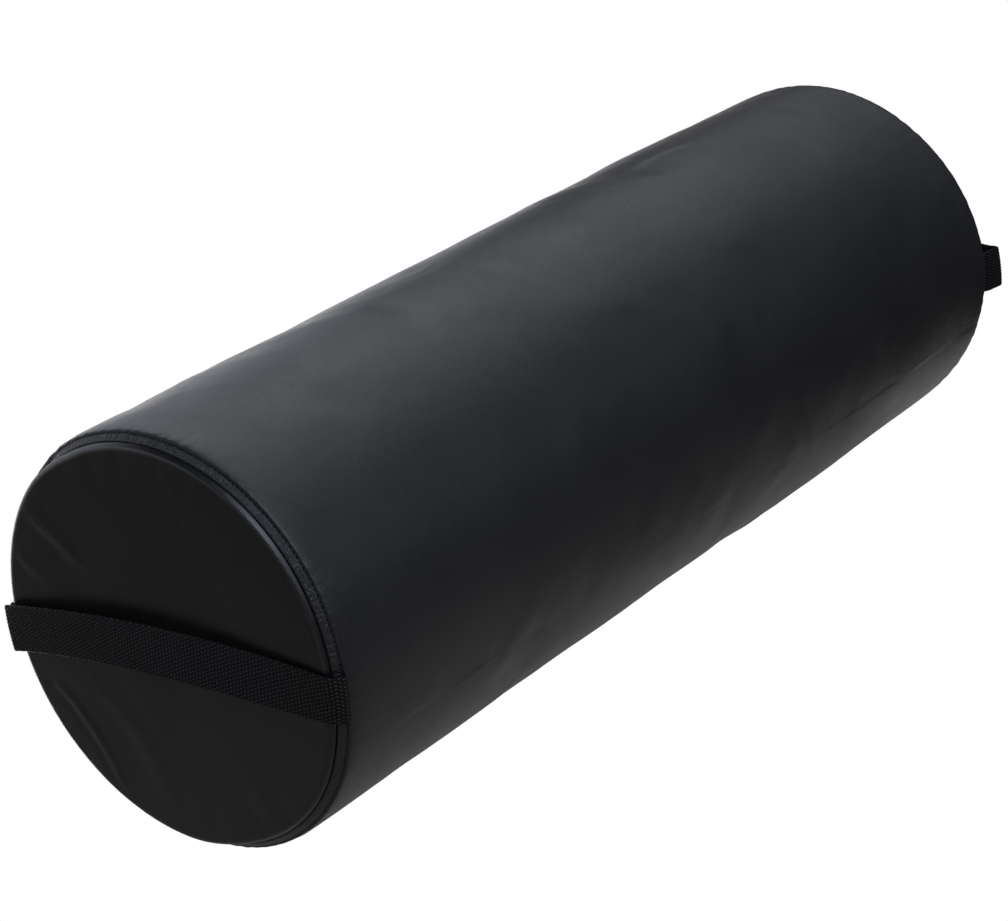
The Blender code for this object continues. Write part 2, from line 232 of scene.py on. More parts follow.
def settled(points, faces, held):
    """Where a coarse sheet of leather comes to rest, held at its seams, cut a little large and filled by the foam."""
    mesh = bpy.data.meshes.new("sheet")
    mesh.from_pydata(points.reshape(-1, 3).tolist(), [], faces.tolist())
    sheet = linked("sheet", mesh)
    sheet.vertex_groups.new(name="held").add(np.flatnonzero(held).tolist(), 1.0, "REPLACE")
    cloth = sheet.modifiers.new("cloth", "CLOTH")
    cloth.settings.vertex_group_mass = "held"
    cloth.settings.mass = 0.05
    cloth.settings.tension_stiffness = 30
    cloth.settings.compression_stiffness = 30
    cloth.settings.bending_stiffness = 2
    cloth.settings.shrink_min = -GROWTH
    cloth.settings.use_pressure = True
    cloth.settings.uniform_pressure_force = 4
    cloth.settings.effector_weights.gravity = 0
    cloth.point_cache.frame_start, cloth.point_cache.frame_end = 1, SETTLING_FRAMES
    for frame_number in range(1, SETTLING_FRAMES + 1):
        bpy.context.scene.frame_set(frame_number)
    evaluated = sheet.evaluated_get(bpy.context.evaluated_depsgraph_get())
    rest = np.empty(points.size, np.float32)
    evaluated.data.vertices.foreach_get("co", rest)
    bpy.data.objects.remove(sheet)
    bpy.data.meshes.remove(mesh)
    bpy.context.scene.frame_set(1)
    return rest.reshape(points.shape).astype(float)


def spline_weights(places, count, closed=False):
    """Weights that read a smooth curve, drawn through count even samples, at places from 0 to count - 1."""
    first = np.floor(places).astype(int)
    t = places - first
    weights = np.zeros((len(places), count))
    for shift, part in enumerate([(1 - t) ** 3, 3 * t**3 - 6 * t**2 + 4, -3 * t**3 + 3 * t**2 + 3 * t + 1, t**3]):
        sample = first + shift - 1
        sample = sample % count if closed else np.clip(sample, 0, count - 1)
        np.add.at(weights, (np.arange(len(places)), sample), part / 6)
    return weights


# ---------------- materials

def new_material(name, color, roughness, metallic=0.0, specular=0.5):
    """A plain material, with its nodes, its links, its shader and the coordinates for its textures."""
    material = bpy.data.materials.new(name)
    material.use_nodes = True
    shader = material.node_tree.nodes["Principled BSDF"]
    shader.inputs["Base Color"].default_value = (*color, 1)
    shader.inputs["Roughness"].default_value = roughness
    shader.inputs["Metallic"].default_value = metallic
    shader.inputs["Specular IOR Level"].default_value = specular
    nodes = material.node_tree.nodes
    return material, nodes, material.node_tree.links, shader, node(nodes, "ShaderNodeTexCoord").outputs["Object"]


def node(nodes, kind, **settings):
    """A node with its properties and its inputs' values set by name."""
    made = nodes.new(kind)
    for key, value in settings.items():
        if hasattr(made, key):
            setattr(made, key, value)
        else:
            made.inputs[key.replace("_", " ").title()].default_value = value
    return made


def noise(nodes, links, coordinates, scale, detail=4.0, roughness=0.5):
    """A noise texture's value, from 0 to 1."""
    made = node(nodes, "ShaderNodeTexNoise", scale=scale, detail=detail)
    made.inputs["Roughness"].default_value = roughness
    links.new(coordinates, made.inputs["Vector"])
    return made.outputs["Fac"]


def blend_color(nodes, links, factor, first, second, low=0.3, high=0.7):
    """A colour between two, as factor goes from low to high."""
    ramp = node(nodes, "ShaderNodeValToRGB")
    ramp.color_ramp.elements[0].position = low
    ramp.color_ramp.elements[0].color = (*first, 1)
    ramp.color_ramp.elements[1].position = high
    ramp.color_ramp.elements[1].color = (*second, 1)
    links.new(factor, ramp.inputs["Fac"])
    return ramp.outputs["Color"]


def spread(nodes, links, factor, low, high):
    """factor's 0 to 1 spread from low to high."""
    ranged = node(nodes, "ShaderNodeMapRange")
    ranged.inputs["To Min"].default_value = low
    ranged.inputs["To Max"].default_value = high
    links.new(factor, ranged.inputs["Value"])
    return ranged.outputs["Result"]


def bump(nodes, links, height, depth, strength, under=None):
    """The surface's direction with this height on it, over the one from under."""
    made = node(nodes, "ShaderNodeBump")
    made.inputs["Strength"].default_value = strength
    made.inputs["Distance"].default_value = depth
    links.new(height, made.inputs["Height"])
    if under is not None:
        links.new(under, made.inputs["Normal"])
    return made.outputs["Normal"]


def leather_material(name, dark, light, roughness, grain=1.0, relief=1.0):
    """Coated fabric: pebbled grain about a millimetre across, fine pores, soft blotches, and duller worn patches."""
    material, nodes, links, shader, where = new_material(name, dark, roughness)
    blotch = noise(nodes, links, where, 22, detail=5)
    links.new(blend_color(nodes, links, blotch, dark, light), shader.inputs["Base Color"])
    dull = noise(nodes, links, where, 60, detail=6, roughness=0.6)
    links.new(spread(nodes, links, dull, roughness - 0.06, roughness + 0.06), shader.inputs["Roughness"])
    pebbles = node(nodes, "ShaderNodeTexVoronoi", scale=750 * grain)
    pebbles.feature = "DISTANCE_TO_EDGE"
    links.new(where, pebbles.inputs["Vector"])
    creases = spread(nodes, links, pebbles.outputs["Distance"], 0.0, 2.4)
    pores = noise(nodes, links, where, 2600 * grain, detail=2)
    wave = noise(nodes, links, where, 110, detail=4)
    normal = bump(nodes, links, wave, 1.2 * MM, 0.10)
    normal = bump(nodes, links, creases, 0.16 * MM * relief, 0.9, normal)
    normal = bump(nodes, links, pores, 0.05 * MM * relief, 0.30, normal)
    links.new(normal, shader.inputs["Normal"])
    return material


def thread_material(name, dark, light):
    """Bonded thread with its plies twisted round it."""
    material, nodes, links, shader, where = new_material(name, dark, 0.5)
    fibre = noise(nodes, links, where, 1800, detail=3)
    links.new(blend_color(nodes, links, fibre, dark, light), shader.inputs["Base Color"])
    links.new(bump(nodes, links, fibre, 0.1 * MM, 0.5), shader.inputs["Normal"])
    return material


def webbing_material(name, dark, light):
    """Polypropylene yarn: painted shade in the gaps and at the edges and a painted highlight on the yarn tops, from
    the mesh's own height, and fine fibres.
    """
    material, nodes, links, shader, where = new_material(name, dark, 0.5, specular=0.12)
    height = node(nodes, "ShaderNodeAttribute", attribute_name="relief").outputs["Fac"]
    # Base colour from the yarn's height: painted shade where it is low, a painted highlight where it is high
    links.new(blend_color(nodes, links, height, dark, light, 0.4, 1.0), shader.inputs["Base Color"])
    fibres = noise(nodes, links, where, 3200, detail=3, roughness=0.7)
    links.new(spread(nodes, links, fibres, 0.34, 0.56), shader.inputs["Roughness"])
    links.new(bump(nodes, links, fibres, 0.12 * MM, 0.5), shader.inputs["Normal"])
    return material


def tape_material(name, dark, light):
    """Woven zip tape: a fine rib along it, crossed by its picks."""
    material, nodes, links, shader, where = new_material(name, dark, 0.75)
    picks = node(nodes, "ShaderNodeTexWave", scale=480, distortion=0.6, detail=1.0)
    picks.bands_direction = "X"
    ribs = node(nodes, "ShaderNodeTexWave", scale=420, distortion=0.4, detail=1.0)
    ribs.bands_direction = "Z"
    for wave in (picks, ribs):
        links.new(where, wave.inputs["Vector"])
    both = node(nodes, "ShaderNodeMath", operation="MULTIPLY")
    links.new(picks.outputs["Fac"], both.inputs[0])
    links.new(ribs.outputs["Fac"], both.inputs[1])
    links.new(blend_color(nodes, links, both.outputs[0], dark, light, 0.0, 0.8), shader.inputs["Base Color"])
    links.new(bump(nodes, links, both.outputs[0], 0.2 * MM, 0.8), shader.inputs["Normal"])
    return material


def speckled_material(name, dark, light, roughness, scale, depth, metallic=0.0):
    """A moulded, cast or foamed finish: slight blotches and a fine uneven surface."""
    material, nodes, links, shader, where = new_material(name, dark, roughness, metallic)
    speckle = noise(nodes, links, where, scale, detail=6, roughness=0.65)
    links.new(blend_color(nodes, links, speckle, dark, light), shader.inputs["Base Color"])
    links.new(spread(nodes, links, speckle, roughness - 0.08, roughness + 0.08), shader.inputs["Roughness"])
    links.new(bump(nodes, links, speckle, depth, 0.5), shader.inputs["Normal"])
    return material


BARREL_COLORS = (0.0060, 0.0064, 0.0076), (0.0085, 0.0090, 0.0105)
PANEL_COLORS = (0.0034, 0.0033, 0.0034), (0.0048, 0.0047, 0.0048)
BARREL_LEATHER = leather_material("barrel leather", *BARREL_COLORS, 0.41, relief=0.55)
PANEL_LEATHER = leather_material("panel leather", *PANEL_COLORS, 0.36, relief=0.3)
BAND_LEATHER = leather_material("band leather", *BARREL_COLORS, 0.42, grain=1.3)
THREAD = thread_material("thread", (0.0025, 0.0025, 0.003), (0.010, 0.010, 0.012))
# The webbing's dark colour is painted shade for its gaps and edges, its light colour a painted highlight for its yarn
# tops
WEBBING = webbing_material("webbing", (0.0009, 0.0009, 0.0010), (0.038, 0.037, 0.0373))
TAPE = tape_material("zip tape", (0.006, 0.006, 0.007), (0.022, 0.022, 0.024))
NYLON = speckled_material("zip coil", (0.012, 0.012, 0.013), (0.020, 0.020, 0.021), 0.32, 900, 0.02 * MM)
METAL = speckled_material("zip metal", (0.030, 0.030, 0.032), (0.060, 0.060, 0.062), 0.34, 700, 0.03 * MM, 0.9)
FOAM = speckled_material("foam", (0.55, 0.52, 0.42), (0.72, 0.69, 0.58), 0.9, 500, 0.8 * MM)


# ---------------- leather cover

def foam_piece():
    """The foam block inside: a turned cylinder with eased edges, its skin lightly dimpled."""
    corner = np.linspace(0, pi / 2, 7)[1:]
    face = np.linspace(0.05, 1, 8) * (FOAM_RADIUS - FOAM_EDGE)
    sides = np.linspace(12 * MM, END_X, 40)
    inset = np.concatenate([np.zeros(len(face)), FOAM_EDGE * (1 - np.cos(corner)), sides])
    rounding = FOAM_RADIUS - FOAM_EDGE + FOAM_EDGE * np.sin(corner)
    radius = np.concatenate([face, rounding, np.full(len(sides), FOAM_RADIUS)])
    x = np.concatenate([inset + FOAM_INSET - END_X, (END_X - FOAM_INSET - inset[:-1])[::-1]])
    radius = np.concatenate([radius, radius[:-1][::-1]])
    around, along = np.meshgrid(full_turn(FOAM_AROUND), x)
    dimples = 0.15 * MM * plane_noise(91, 8 * MM, 20 * MM)(along, around * FOAM_RADIUS)
    points = round_body(along, around, radius[:, None] + dimples)
    return mesh_piece("foam_block", points, capped_faces(len(x), FOAM_AROUND), FOAM)


def seam_puckers(seed):
    """How a sewn seam gathers the leather next to it, round a full turn."""
    return ring_noise(seed, 45, 120)


def crease(a, b, line, width, height):
    """A ridge along a smooth line over a plane, with a hollow beside it, fading out at both of its ends."""
    path = catmull(line, 8) * MM
    best = np.full(np.shape(a), 1e9)
    ridge = np.zeros(np.shape(a))
    lengths = np.concatenate([[0], np.cumsum(np.linalg.norm(np.diff(path, axis=0), axis=1))])
    for k, (start, end) in enumerate(zip(path, path[1:])):
        step = end - start
        t = np.clip(((a - start[0]) * step[0] + (b - start[1]) * step[1]) / (step @ step), 0, 1)
        da, db = a - start[0] - t * step[0], b - start[1] - t * step[1]
        distance = np.hypot(da, db)
        side = np.sign(step[0] * db - step[1] * da)
        share = (lengths[k] + t * (lengths[k + 1] - lengths[k])) / lengths[-1]
        fade = np.sin(pi * np.clip(0.08 + 0.84 * share, 0, 1)) ** 0.7
        shape = np.exp(-(distance / width) ** 2)
        shape -= 0.5 * np.exp(-((distance * side - 1.6 * width) / (1.4 * width)) ** 2)
        ridge = np.where(distance < best, shape * fade, ridge)
        best = np.minimum(best, distance)
    return height * ridge


def fine_steps(stops):
    """Values from stops of (value, spacing after it), each stretch divided evenly."""
    out = []
    for (start, spacing), (end, _) in zip(stops, stops[1:]):
        out.extend(np.linspace(start, end, max(1, int(round((end - start) / spacing))), endpoint=False))
    return np.array(out + [stops[-1][0]])


def barrel_slack(x, turn):
    """How far the barrel's leather settles off its round form at each x and turn, from a cloth simulation."""
    rows, columns = 72, 104
    reach = END_X - 6 * MM
    around, along = np.meshgrid(full_turn(columns), np.linspace(-reach, reach, rows))
    from_zip = RADIUS * ((around - ZIP_TURN + pi) % (2 * pi) - pi)
    radius = RADIUS + 0.1 * MM * plane_noise(13, 50 * MM, 150 * MM)(along, from_zip)
    start = np.stack([along, radius * np.cos(around), radius * np.sin(around)], axis=-1)
    held = np.abs(from_zip) < 9 * MM
    held[[0, -1]] = True
    rest = settled(start, grid_faces(rows, columns), held)
    moved = np.hypot(rest[..., 1], rest[..., 2]) - radius
    moved = np.clip(moved - np.median(moved), -SLACK_CAP, SLACK_CAP)
    moved[held] = 0
    along_weights = spline_weights((x + reach) / (2 * reach) * (rows - 1), rows)
    round_weights = spline_weights((turn / (2 * pi) * columns) % columns, columns, closed=True)
    return SLACK_SHARE * along_weights @ moved @ round_weights.T


def barrel_piece():
    """The long tube of leather: soft shoulders at the seams, slight slack, a few dents, and a slot for the zip."""
    # Small steps at the seams and at the slot's edges, wider ones between
    stops = [(BARREL_INSET / MM, 0.12), (6.5, 0.4), (10, 0.9), (16, 1.8), (30, 2.6), (64.2, 0.15), (64.8, 2.6)]
    near_end = fine_steps(stops) * MM
    inset = np.concatenate([near_end, np.linspace(near_end[-1], END_X, 96)[1:]])
    x = np.concatenate([inset - END_X, (END_X - inset[:-1])[::-1]])
    half_turn = pi * RADIUS / MM
    arc = fine_steps([(0, 0.6), (5.7, 0.15), (6.3, 0.6), (12, 1.2), (16, 1.55), (half_turn, 1)])
    arc = np.concatenate([-arc[:0:-1], arc[:-1]]) * MM
    turn = ZIP_TURN + arc / RADIUS
    across, along = np.meshgrid(turn, x)
    deep = END_X - np.abs(along)
    from_zip = RADIUS * (across - ZIP_TURN)

    # Long soft waves, short faint ones, and a fuller part that leaves the zip's side alone
    sag = plane_noise(11, 60 * MM, 190 * MM)(along, from_zip)
    fine = plane_noise(12, 14 * MM, 34 * MM)(along, from_zip)
    radius = RADIUS + 0.22 * MM * sag + 0.035 * MM * fine + barrel_slack(x, turn)
    past_zip = 1 - np.exp(-(from_zip / (44 * MM)) ** 2)
    radius += 2.0 * MM * np.exp(-((along - 150 * MM) / (105 * MM)) ** 2) * past_zip

    # The shoulder's sharp and soft roundings, and its edge, tucked into the topstitch's groove
    edge = deep - SHOULDER_INSET
    radius -= 0.25 * MM * np.exp(-edge / (0.2 * MM)) + 0.85 * MM * np.exp(-edge / (3.0 * MM))
    radius -= 1.4 * MM * np.exp(-(deep - BARREL_INSET) / (0.12 * MM))
    shift = np.where(along < 0, rim_shift("left", across, 1.0), rim_shift("right", across, 1.0))
    radius += shift * np.exp(-np.clip(edge, 0, None) / (9 * MM))
    puckers = np.where(along < 0, seam_puckers(21)(across), seam_puckers(22)(across))
    radius += 0.16 * MM * puckers * np.exp(-edge / (7 * MM))

    for x0, degrees, length, width, depth in DENTS:
        around = RADIUS * ((across - radians(degrees) + pi) % (2 * pi) - pi)
        radius -= depth * MM * np.exp(-((along - x0 * MM) / (length * MM)) ** 2 - (around / (width * MM)) ** 2)
    for line, width, height in BARREL_CREASES:
        around = RADIUS * ((across - radians(90) + pi) % (2 * pi) - pi)
        radius += crease(along, around, line, width * MM, height * MM)

    # The lengthwise seam's groove, the slot's turned-in edge, and the line that its stitches pull down
    seam = np.clip((np.abs(along) - SLOT_HALF) / (3 * MM), 0, 1)
    radius -= 0.55 * MM * seam * np.exp(-(from_zip / (0.9 * MM)) ** 2)
    by_slot = np.abs(along) < STITCHED_HALF
    outside = np.hypot(np.clip(np.abs(along) - SLOT_HALF, 0, None), np.clip(np.abs(from_zip) - SLOT_V, 0, None))
    radius -= 0.45 * MM * np.exp(-outside / (0.45 * MM)) * by_slot
    radius -= 0.18 * MM * np.exp(-((np.abs(from_zip) - STITCHED_V) / (0.8 * MM)) ** 2) * by_slot

    points = round_body(along, across, radius)
    faces = grid_faces(len(x), len(turn))
    middle_x = along.ravel()[faces].mean(axis=1)
    middle_v = from_zip.ravel()[faces]
    whole = np.ptp(middle_v, axis=1) < 10 * MM
    in_slot = whole & (np.abs(middle_x) < SLOT_HALF - 1e-6) & (np.abs(middle_v.mean(axis=1)) < SLOT_V)
    piece = mesh_piece("cover_barrel", points, faces[~in_slot], BARREL_LEATHER)
    thicken(piece, LEATHER)
    return piece


# Dents: along X and degrees of turn, then half length, half width and depth, in millimetres
DENTS = [
    (128, 88, 34, 17, 1.5), (-70, 76, 22, 12, 0.7), (170, 96, 22, 10, 0.5), (-210, 140, 60, 26, 0.5),
    (60, 172, 70, 22, 0.5), (-120, 300, 70, 30, 0.8), (150, 330, 55, 22, 0.9), (210, 215, 30, 14, 0.5),
]

# Creases: a line of (along X, round from the top), its width and its height, in millimetres
BARREL_CREASES = [
    ([(92, 2), (112, -9), (134, -13), (158, -10), (176, -2)], 3.0, 0.40),
    ([(92, 183), (99, 200), (108, 216), (118, 230)], 4.5, 0.45),
    ([(-86, -24), (-70, -20), (-54, -24)], 3.0, 0.22),
    ([(-40, 236), (-22, 250), (-8, 268)], 6.0, 0.30),
    ([(180, -80), (196, -96), (206, -120)], 5.0, 0.35),
    ([(-250, -70), (-232, -92), (-226, -118)], 5.0, 0.35),
]


def tucked(side, turn):
    """1 where an end's edge rolls over its seam and hides it, behind and below on the left, and 0 elsewhere."""
    if side == "right":
        return np.zeros_like(turn)
    degrees = (np.degrees(turn) + 180) % 360 - 180
    starts, stops = np.clip((degrees + 112) / 27, 0, 1), np.clip((66 - degrees) / 24, 0, 1)
    both = np.minimum(starts, stops)
    return both * both * (3 - 2 * both)


def rim_shift(side, turn, outer=0.0):
    """How far a rim's leather stands out from its circle, from the end seam at 0 to the outer one at 1.

    The left handle's front end pulls it in, and the right one's pushes it out.
    """
    from_front = turn % (2 * pi) - pi
    wide = np.exp(-(from_front / radians(28)) ** 2)
    if side == "right":
        return 2.4 * MM * wide
    narrow = np.exp(-(from_front / radians(17)) ** 2)
    return -2.6 * MM * wide * (1 - outer) - 2.0 * MM * narrow * outer - 1.8 * MM * tucked(side, turn)


def panel_swell(radii, turn, seed):
    """How far the foam fills an end out at each radius and turn, from a cloth simulation held at the seam."""
    rows, columns = 20, 120
    inner, outer = 5 * MM, PANEL_RADIUS
    around, radius = np.meshgrid(full_turn(columns), np.linspace(inner, outer, rows))
    y, z = radius * np.cos(around), radius * np.sin(around)
    start = np.stack([0.1 * MM * plane_noise(seed, 30 * MM, 90 * MM)(y, z), y, z], axis=-1)
    held = np.zeros(around.shape, bool)
    held[-1] = True
    rest = settled(start, grid_faces(rows, columns), held)
    moved = np.abs(rest[..., 0] - start[..., 0])
    crown = moved.mean(axis=1, keepdims=True)
    moved = SWELL * crown / crown.max() + SWELL_RIPPLES * (moved - crown)
    places = np.clip((radii - inner) / (outer - inner), 0, 1) * (rows - 1)
    round_weights = spline_weights(turn / (2 * pi) * columns, columns, closed=True)
    return spline_weights(places, rows) @ moved @ round_weights.T


def panel_piece(side):
    """A flat end: slightly full over the foam, pulled in and creased at its seam."""
    end = SIDES[side]
    seed = {"left": 31, "right": 41}[side]
    inner = np.linspace(0.02, 1, 44) ** 0.85 * ROLL_START
    rim = np.linspace(0, 1, 14)[1:] ** 0.55 * (PANEL_RADIUS - ROLL_START) + ROLL_START
    radii = np.concatenate([inner, rim])
    sunk = ROLL_DEPTH * (np.clip(radii - ROLL_START, 0, None) / (PANEL_RADIUS - ROLL_START)) ** 4.2
    turn = full_turn(PANEL_AROUND)
    around, radius = np.meshgrid(turn, radii)
    over = tucked(side, around)
    shift = rim_shift(side, around) + 3.4 * MM * over
    radius = radius + shift * (radius / PANEL_RADIUS) ** 8
    y, z = radius * np.cos(around), radius * np.sin(around)
    share = np.clip(radius / PANEL_RADIUS, 0, 1)
    height = panel_swell(radii, turn, seed + 2)
    height += 0.18 * MM * plane_noise(seed, 35 * MM, 110 * MM)(y, z) * (1 - share**6)
    height += 0.02 * MM * seam_puckers(seed + 1)(around) * share**16
    for line, width, rise in PANEL_CREASES[side]:
        height += crease(y, z, line, width * MM, rise * MM) * (1 - share**14)
    height -= sunk[:, None] * (1 - 0.62 * over)
    points = np.stack([end * (END_X + height), y, AXIS_Z + z], axis=-1).reshape(-1, 3)
    faces = grid_faces(len(radii), PANEL_AROUND).tolist()
    centre = len(points)
    points = np.vstack([points, [[end * (END_X + height[0].mean()), 0, AXIS_Z]]])
    faces += [[centre, (k + 1) % PANEL_AROUND, k] for k in range(PANEL_AROUND)]
    piece = mesh_piece(f"cover_end_{side}", points, faces, PANEL_LEATHER, flip=end < 0)
    thicken(piece, LEATHER)
    return piece


# Creases on the ends: a line of (along Y, up from the axis), its width and its height, in millimetres
PANEL_CREASES = {
    "left": [
        ([(90, 64), (81, 59), (73, 54), (63, 48), (54, 40)], 4.4, 0.85),
        ([(99, 36), (92, 31), (84, 27)], 3.6, 0.50),
        ([(86, -37), (76, -45), (67, -56), (59, -68), (53, -80), (50, -89)], 2.6, 1.15),
        ([(56, -29), (42, -41), (30, -55), (21, -72), (14, -90)], 6.8, 0.46),
        ([(-18, 101), (-26, 84), (-36, 66)], 3.0, 0.16),
        ([(-60, -86), (-48, -70), (-40, -52)], 7.0, 0.30),
    ],
    "right": [
        ([(-90, 55), (-80, 47), (-66, 41)], 2.8, 0.60),
        ([(84, -58), (72, -62), (60, -72), (52, -84)], 2.6, 0.80),
        ([(-50, -88), (-44, -70), (-34, -54)], 6.5, 0.70),
        ([(20, 102), (27, 84), (38, 70)], 2.6, 0.30),
    ],
}

# The band's section: (inset, radius) in millimetres, from the end seam's groove to the topstitch's groove
BAND_SECTION = [
    (4.75, 103.6), (4.0, 107.3), (3.4, 107.9), (2.7, 108.25), (2.25, 108.7), (2.15, 109.25), (2.4, 109.85),
    (3.0, 110.5), (3.6, 111.1), (4.15, 111.7), (4.6, 112.05), (4.85, 112.0), (5.05, 111.4), (5.2, 110.6),
]


def gathers(seed):
    """The creases across a gathered strip: each one's turn, depth, slant, middle and reach across the strip."""
    draw = np.random.default_rng(seed)
    turn, out = 0.0, []
    while turn < 2 * pi:
        smooth = np.exp(-((turn - radians(245)) / radians(42)) ** 2)
        depth = draw.uniform(0.3, 1.0) * (1 - 0.75 * smooth)
        out.append((turn, depth, draw.normal(0, 1.0), draw.uniform(0.3, 0.75), draw.uniform(0.4, 1.2)))
        by_handle = np.exp(-((turn - pi) / radians(24)) ** 2)
        turn += (2.0 + 2.6 * by_handle) * MM / RADIUS * draw.uniform(0.55, 1.45)
    return out


def band_piece(side):
    """The narrow puckered strip between the two seams that close an end."""
    end = SIDES[side]
    seed = {"left": 51, "right": 61}[side]
    section = catmull(BAND_SECTION, 3) * MM
    q = np.linspace(0, 1, len(section))
    around, across = np.meshgrid(full_turn(BAND_AROUND), q)
    open_part = np.clip(np.sin(pi * across), 0, 1) ** 0.5
    lift = 0.05 * ring_noise(seed + 2, 20, 60)(around)
    for middle, depth, slant, q0, reach in gathers(seed):
        away = RADIUS * ((around - middle + pi) % (2 * pi) - pi) - slant * MM * (across - 0.5)
        lift -= 0.42 * depth * np.exp(-np.abs(away) / (0.55 * MM)) * np.exp(-(((across - q0) / reach) ** 2))
    lift *= open_part
    pulled = np.cos(0.5 * END_STITCHES * around) ** 8 * np.exp(-((across - 0.24) / 0.10) ** 2)
    over = tucked(side, around)
    inset = section[:, :1] - (0.5 * lift - 0.22 * pulled) * MM + 1.6 * MM * over * (1 - across**2)
    radius = section[:, 1:] + 0.8 * lift * MM + rim_shift(side, around, across)
    points = round_body(end * (END_X - inset), around, radius)
    faces = grid_faces(len(section), BAND_AROUND)
    piece = mesh_piece(f"cover_band_{side}", points, faces, BAND_LEATHER, flip=end > 0)
    thicken(piece, BAND_LEATHER_DEPTH)
    return piece


# ---------------- stitches

def stitches(name, places, headings, ups, length, radius, lift, material):
    """One short arch of thread at each place, along its heading, that dips into the leather at both ends."""
    rings, sides = 9, 8
    t = np.linspace(-1, 1, rings)
    angle = full_turn(sides)
    places, headings, ups = (np.asarray(v, float) for v in (places, headings, ups))
    asides = np.cross(ups, headings)
    centre = places[:, None] + headings[:, None] * (t * length / 2)[None, :, None]
    centre = centre + ups[:, None] * (lift - 1.5 * radius * t**4)[None, :, None]
    swell = radius * (1 - 0.45 * t**6)
    round_about = np.cos(angle)[:, None] * ups[:, None, None] + np.sin(angle)[:, None] * asides[:, None, None]
    points = centre[:, :, None] + swell[None, :, None, None] * round_about
    each = rings * sides
    one = capped_faces(rings, sides)
    faces = [[v + k * each for v in f] for k in range(len(places)) for f in one]
    return mesh_piece(name, points, faces, material)


def ring_frame(turn):
    """The outward and the round-about directions at each turn."""
    zero = np.zeros_like(turn)
    out = np.stack([zero, np.cos(turn), np.sin(turn)], axis=-1)
    about = np.stack([zero, -np.sin(turn), np.cos(turn)], axis=-1)
    return out, about


def unit(v):
    """The vectors with their length set to 1."""
    return v / np.linalg.norm(v, axis=-1, keepdims=True)


def end_seam_piece(side):
    """The thread that crosses the groove between the end and its band, a bit at a time."""
    end = SIDES[side]
    draw = np.random.default_rng(71)
    turn = (np.arange(END_STITCHES) + draw.uniform(-0.08, 0.08, END_STITCHES)) * 2 * pi / END_STITCHES
    out, about = ring_frame(turn)
    axis = np.array([end, 0.0, 0.0])
    radius = END_STITCH_RADIUS + rim_shift(side, turn)
    inset = 2.2 * MM + 1.2 * MM * tucked(side, turn)
    places = out * radius[:, None] + axis * (END_X - inset)[:, None] + [0, 0, AXIS_Z]
    headings = unit(about + 0.55 * out)
    ups = np.repeat(axis[None], END_STITCHES, axis=0)
    return stitches(f"stitches_end_seam_{side}", places, headings, ups, 2.4 * MM, 0.3 * MM, 0.1 * MM, THREAD)


def topstitch_piece(side):
    """The line of stitches where the band meets the barrel."""
    end = SIDES[side]
    turn = np.arange(TOP_STITCHES) * 2 * pi / TOP_STITCHES
    out, about = ring_frame(turn)
    axis = np.array([end, 0.0, 0.0])
    radius = TOP_STITCH_RADIUS + rim_shift(side, turn, 1.0)
    places = out * radius[:, None] + axis * (END_X - BARREL_INSET) + [0, 0, AXIS_Z]
    places[:, 2] = np.maximum(places[:, 2], 0.4 * MM)
    wander = np.where(np.arange(TOP_STITCHES) % 2, 0.10, -0.04)[:, None]
    headings = unit(about + wander * axis)
    return stitches(f"stitches_top_{side}", places, headings, out, 2.6 * MM, 0.28 * MM, 0.0, THREAD)


def zip_point(u, v, w):
    """Points at u along, v down across the zip and w out from the axis."""
    u, v, w = np.broadcast_arrays(u, v, w)
    y = w * cos(ZIP_TURN) + v * sin(ZIP_TURN)
    z = AXIS_Z + w * sin(ZIP_TURN) - v * cos(ZIP_TURN)
    return np.stack([u, y, z], axis=-1)


def stitch_line(start, end):
    """Evenly spaced places and headings from start to end."""
    start, end = np.asarray(start, float), np.asarray(end, float)
    count = max(1, int(round(np.linalg.norm(end - start) / STITCH_PITCH)))
    t = (np.arange(count) + 0.5) / count
    places = start + (end - start) * t[:, None]
    return places, np.repeat(unit(end - start)[None], count, axis=0)


def zip_stitch_piece():
    """The rectangle of stitches that holds the tapes to the cover."""
    u, v = STITCHED_HALF, STITCHED_V
    w = sqrt(RADIUS**2 - v**2) + 0.02 * MM
    corners = [(-u, -v), (u, -v), (u, v), (-u, v)]
    places, headings = [], []
    for (u0, v0), (u1, v1) in zip(corners, corners[1:] + corners[:1]):
        line, heading = stitch_line(zip_point(u0, v0, w), zip_point(u1, v1, w))
        places.append(line)
        headings.append(heading)
    places, headings = np.vstack(places), np.vstack(headings)
    ups = np.repeat(ZIP_OUT[None], len(places), axis=0)
    return stitches("stitches_zip", places, headings, ups, 2.5 * MM, 0.3 * MM, 0.12 * MM, THREAD)


def barrel_seam_piece(side):
    """The stitches that close the barrel's lengthwise seam beyond the zip."""
    end = SIDES[side]
    w = RADIUS - 0.12 * MM
    places, headings = stitch_line(*(zip_point(end * u, 0, w) for u in SEAM_STITCHES))
    ups = np.repeat(ZIP_OUT[None], len(places), axis=0)
    return stitches(f"stitches_barrel_seam_{side}", places, headings, ups, 2.5 * MM, 0.32 * MM, 0.0, THREAD)


# ---------------- webbing

def rounded(points, radii, step):
    """The open polyline through the points with its corners rounded to these radii, or kept where it is 0."""
    points = [np.asarray(p, float) for p in points]
    path = [points[0]]
    for before, corner, after, radius in zip(points, points[1:], points[2:], radii):
        if not radius:
            path.append(corner)
            continue
        a, b = unit(before - corner), unit(after - corner)
        half = 0.5 * np.arccos(np.clip(a @ b, -1, 1))
        reach = radius / np.tan(half)
        centre = corner + unit(a + b) * radius / sin(half)
        start, finish = corner + a * reach - centre, corner + b * reach - centre
        sweep = np.arccos(np.clip(start @ finish / radius**2, -1, 1))
        count = max(3, int(sweep * radius / step) + 1)
        for t in np.linspace(0, 1, count):
            path.append(centre + (start * sin((1 - t) * sweep) + finish * sin(t * sweep)) / sin(sweep))
    path.append(points[-1])
    return np.array(path)


